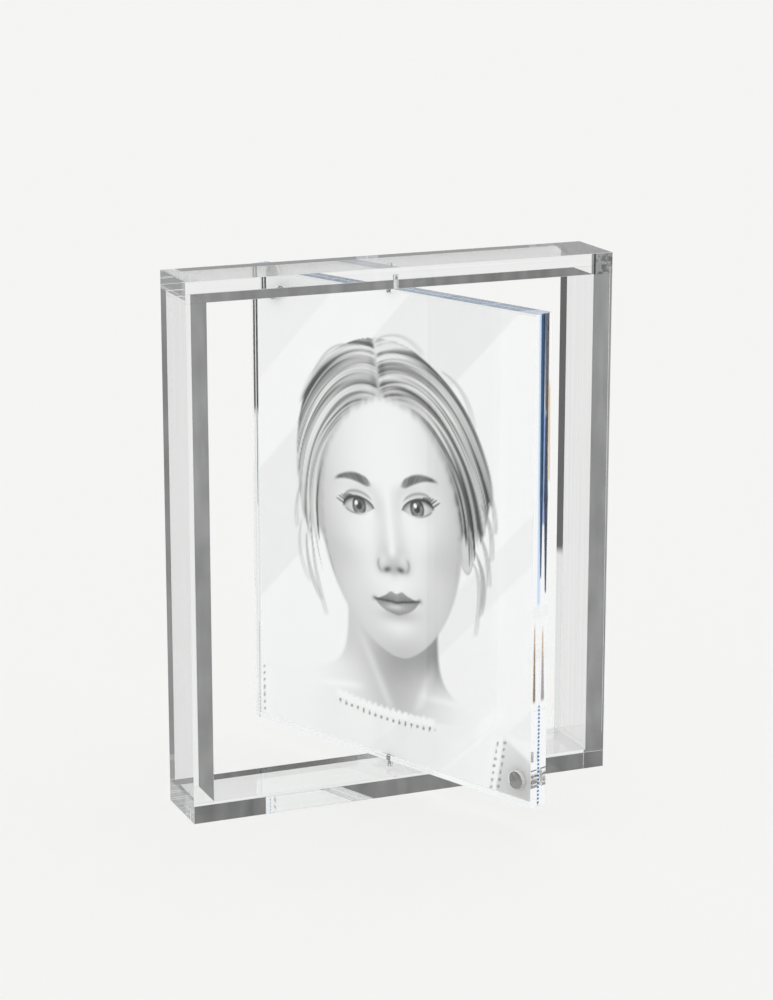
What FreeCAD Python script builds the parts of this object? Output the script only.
"""A clear acrylic block frame with a swivelling, magnet-closed picture panel.

Four thick bars stand on edge as an open rectangular block. A panel of two clear plates
hangs in the window on two vertical pins and turns right round. Disc magnets in two
opposite corners of the plates hold them together over the paper print.

Millimetres, +Z up. The block stands on Z = 0, centred on X and Y, with its front towards -Y.
"""

import FreeCAD, Part
import math
import os

# Outer block: stock bars on edge, glued into a ring.
FRAME_WIDTH = 171.0
FRAME_HEIGHT = 206.0
FRAME_DEPTH = 28.5
BAR_THICKNESS = 8.0
BOND_THICKNESS = 0.1
BLOCK_BEVEL = 0.08

# Swivelling panel: two plates with a print between them.
PANEL_SIDE_GAP = 1.5
PANEL_END_GAP = 2.0
PLATE_THICKNESS = 4.0
PLATE_BEVEL = 0.05
PRINT_THICKNESS = 0.25
PRINT_INSET = 1.5
SHEET_GAP = 0.02
PANEL_TURN = 68.0

# Closing magnets: discs glued into blind pockets in the plates' inner faces.
MAGNET_DIAMETER = 7.0
MAGNET_THICKNESS = 3.0
MAGNET_BEVEL = 0.25
POCKET_DIAMETER = 7.2
POCKET_DEPTH = 3.1
UPPER_MAGNET_FROM_SIDE = 12.0
LOWER_MAGNET_FROM_SIDE = 8.0
MAGNET_FROM_END = 9.0

# Pivot pins: pressed into the front plate's edges, turning in blind holes in the bars.
PIN_DIAMETER = 2.0
PIN_BEVEL = 0.3
PIN_IN_PLATE = 2.0
PIN_IN_BAR = 3.5
PIN_PRESS = 0.01
PIN_RUNNING_CLEARANCE = 0.06
PIN_END_CLEARANCE = 0.05

# Sizes that follow from the ones above.
HALF_WIDTH = FRAME_WIDTH / 2
HALF_DEPTH = FRAME_DEPTH / 2
WINDOW_TOP = FRAME_HEIGHT - BAR_THICKNESS
PANEL_WIDTH = FRAME_WIDTH - 2 * (BAR_THICKNESS + PANEL_SIDE_GAP)
PANEL_BOTTOM = BAR_THICKNESS + PANEL_END_GAP
PANEL_TOP = FRAME_HEIGHT - PANEL_BOTTOM
PANEL_HEIGHT = PANEL_TOP - PANEL_BOTTOM
FRONT_PLATE_FACE = -PLATE_THICKNESS / 2
FRONT_PLATE_BACK = PLATE_THICKNESS / 2
PRINT_FACE = FRONT_PLATE_BACK + SHEET_GAP
BACK_PLATE_FACE = PRINT_FACE + PRINT_THICKNESS + SHEET_GAP
PIN_RADIUS = PIN_DIAMETER / 2
WORLD_UP = FreeCAD.Vector(0, 0, 1)
PANEL_BACKWARD = FreeCAD.Vector(0, 1, 0)


def box(low, high):
    """Return a box between two opposite corners."""
    size = [b - a for a, b in zip(low, high)]
    return Part.makeBox(*size, FreeCAD.Vector(*low))


def bevelled(solid, bevel, edges=None):
    """Return the solid with small flat bevels along the given edges, or along all of them."""
    return solid.makeChamfer(bevel, edges or solid.Edges)


def is_window_corner(edge):
    """Tell whether an edge is one of the four inside corners of the block's window."""
    middle = edge.CenterOfMass
    inside_width = abs(middle.x) < HALF_WIDTH - BAR_THICKNESS / 2
    inside_height = BAR_THICKNESS / 2 < middle.z < FRAME_HEIGHT - BAR_THICKNESS / 2
    return inside_width and inside_height and abs(middle.y) < HALF_DEPTH / 2


def make_block():
    """Return the whole ring of bars with its polished bevels, before it is parted."""
    outer = box((-HALF_WIDTH, -HALF_DEPTH, 0), (HALF_WIDTH, HALF_DEPTH, FRAME_HEIGHT))
    window = box(
        (-HALF_WIDTH + BAR_THICKNESS, -FRAME_DEPTH, BAR_THICKNESS),
        (HALF_WIDTH - BAR_THICKNESS, FRAME_DEPTH, WINDOW_TOP),
    )
    ring = outer.cut(window)
    edges = [edge for edge in ring.Edges if not is_window_corner(edge)]
    return bevelled(ring, BLOCK_BEVEL, edges)


def slice_block(block, x_span, z_span):
    """Return the stretch of the ring that lies inside the given spans of X and Z."""
    region = box((x_span[0], -FRAME_DEPTH, z_span[0]), (x_span[1], FRAME_DEPTH, z_span[1]))
    return block.common(region).Solids[0]


def drill_pivot(bar, mouth_z, upward):
    """Return the bar with a flat-bottomed blind hole for a pivot pin."""
    radius = PIN_RADIUS + PIN_RUNNING_CLEARANCE
    hole = Part.makeCylinder(
        radius, PIN_IN_BAR + PIN_END_CLEARANCE, FreeCAD.Vector(0, 0, mouth_z), WORLD_UP * upward
    )
    return bar.cut(hole)


def make_bars(block):
    """Return the four bars: long ones above and below, side bars standing between them."""
    full_width = (-HALF_WIDTH, HALF_WIDTH)
    left = (-HALF_WIDTH, -HALF_WIDTH + BAR_THICKNESS)
    right = (HALF_WIDTH - BAR_THICKNESS, HALF_WIDTH)
    between_bonds = (BAR_THICKNESS + BOND_THICKNESS, WINDOW_TOP - BOND_THICKNESS)
    top_bar = slice_block(block, full_width, (WINDOW_TOP, FRAME_HEIGHT))
    bottom_bar = slice_block(block, full_width, (0, BAR_THICKNESS))
    return {
        "top_bar": drill_pivot(top_bar, WINDOW_TOP, 1),
        "bottom_bar": drill_pivot(bottom_bar, BAR_THICKNESS, -1),
        "left_bar": slice_block(block, left, between_bonds),
        "right_bar": slice_block(block, right, between_bonds),
    }


def make_bonds(block):
    """Return the four films of clear cement at the ends of the side bars."""
    sides = {
        "left": (-HALF_WIDTH, -HALF_WIDTH + BAR_THICKNESS),
        "right": (HALF_WIDTH - BAR_THICKNESS, HALF_WIDTH),
    }
    levels = {
        "upper": (WINDOW_TOP - BOND_THICKNESS, WINDOW_TOP),
        "lower": (BAR_THICKNESS, BAR_THICKNESS + BOND_THICKNESS),
    }
    return {
        f"{level}_{side}_bond": slice_block(block, x_span, z_span)
        for level, z_span in levels.items()
        for side, x_span in sides.items()
    }


def swing(solid):
    """Turn a piece made square to the block to the panel's resting angle about the pins."""
    turned = solid.copy()
    turned.rotate(FreeCAD.Vector(0, 0, 0), WORLD_UP, -PANEL_TURN)
    return turned


def magnet_places():
    """Return the X and Z of the magnet centres in the upper left and lower right corners."""
    half = PANEL_WIDTH / 2
    return {
        "upper": (-half + UPPER_MAGNET_FROM_SIDE, PANEL_TOP - MAGNET_FROM_END),
        "lower": (half - LOWER_MAGNET_FROM_SIDE, PANEL_BOTTOM + MAGNET_FROM_END),
    }


def make_plate(face_y, pocket_y):
    """Return one clear plate with its front at face_y and pockets that begin at pocket_y."""
    half = PANEL_WIDTH / 2
    plate = bevelled(
        box((-half, face_y, PANEL_BOTTOM), (half, face_y + PLATE_THICKNESS, PANEL_TOP)), PLATE_BEVEL
    )
    for x, z in magnet_places().values():
        pocket = Part.makeCylinder(
            POCKET_DIAMETER / 2, POCKET_DEPTH, FreeCAD.Vector(x, pocket_y, z), PANEL_BACKWARD
        )
        plate = plate.cut(pocket)
    return plate


def make_magnets(prefix, floor_y, inward):
    """Return a plate's two magnets, each seated on the floor of its pocket."""
    magnets = {}
    for level, (x, z) in magnet_places().items():
        disc = Part.makeCylinder(
            MAGNET_DIAMETER / 2, MAGNET_THICKNESS, FreeCAD.Vector(x, floor_y, z), PANEL_BACKWARD * inward
        )
        rims = [edge for edge in disc.Edges if edge.Closed]
        magnets[f"{prefix}_{level}_magnet"] = bevelled(disc, MAGNET_BEVEL, rims)
    return magnets


def make_pin(bar_face_z, plate_edge_z):
    """Return a pin from its blind hole in a bar, across the gap, into the plate's edge."""
    away = math.copysign(1, plate_edge_z - bar_face_z)
    start = bar_face_z - away * PIN_IN_BAR
    length = abs(plate_edge_z + away * PIN_IN_PLATE - start)
    pin = Part.makeCylinder(PIN_RADIUS, length, FreeCAD.Vector(0, 0, start), WORLD_UP * away)
    rims = [edge for edge in pin.Edges if edge.Closed]
    return bevelled(pin, PIN_BEVEL, rims)


def drill_plate(plate):
    """Return the front plate with a press-fit hole for a pin in its top and bottom edges."""
    radius = PIN_RADIUS - PIN_PRESS
    for edge_z, upward in ((PANEL_BOTTOM, 1), (PANEL_TOP, -1)):
        hole = Part.makeCylinder(radius, PIN_IN_PLATE, FreeCAD.Vector(0, 0, edge_z), WORLD_UP * upward)
        plate = plate.cut(hole)
    return plate


def make_panel():
    """Return the pieces of the panel, square to the block."""
    half = PANEL_WIDTH / 2 - PRINT_INSET
    front_floor = FRONT_PLATE_BACK - POCKET_DEPTH
    back_floor = BACK_PLATE_FACE + POCKET_DEPTH
    panel = {
        "front_plate": drill_plate(make_plate(FRONT_PLATE_FACE, front_floor)),
        "back_plate": make_plate(BACK_PLATE_FACE, BACK_PLATE_FACE),
        "photo_print": box(
            (-half, PRINT_FACE, PANEL_BOTTOM + PRINT_INSET),
            (half, PRINT_FACE + PRINT_THICKNESS, PANEL_TOP - PRINT_INSET),
        ),
        "upper_pivot_pin": make_pin(WINDOW_TOP, PANEL_TOP),
        "lower_pivot_pin": make_pin(BAR_THICKNESS, PANEL_BOTTOM),
    }
    panel.update(make_magnets("front", front_floor, 1))
    panel.update(make_magnets("back", back_floor, -1))
    return panel


def main():
    os.makedirs("parts", exist_ok=True)
    block = make_block()
    pieces = {**make_bars(block), **make_bonds(block)}
    pieces.update({name: swing(solid) for name, solid in make_panel().items()})
    for name, solid in pieces.items():
        solid.exportStep(f"parts/{name}.step")
        print(f"{name}: {solid.Volume:.1f} mm3, valid {solid.isValid()}, solids {len(solid.Solids)}")


main()
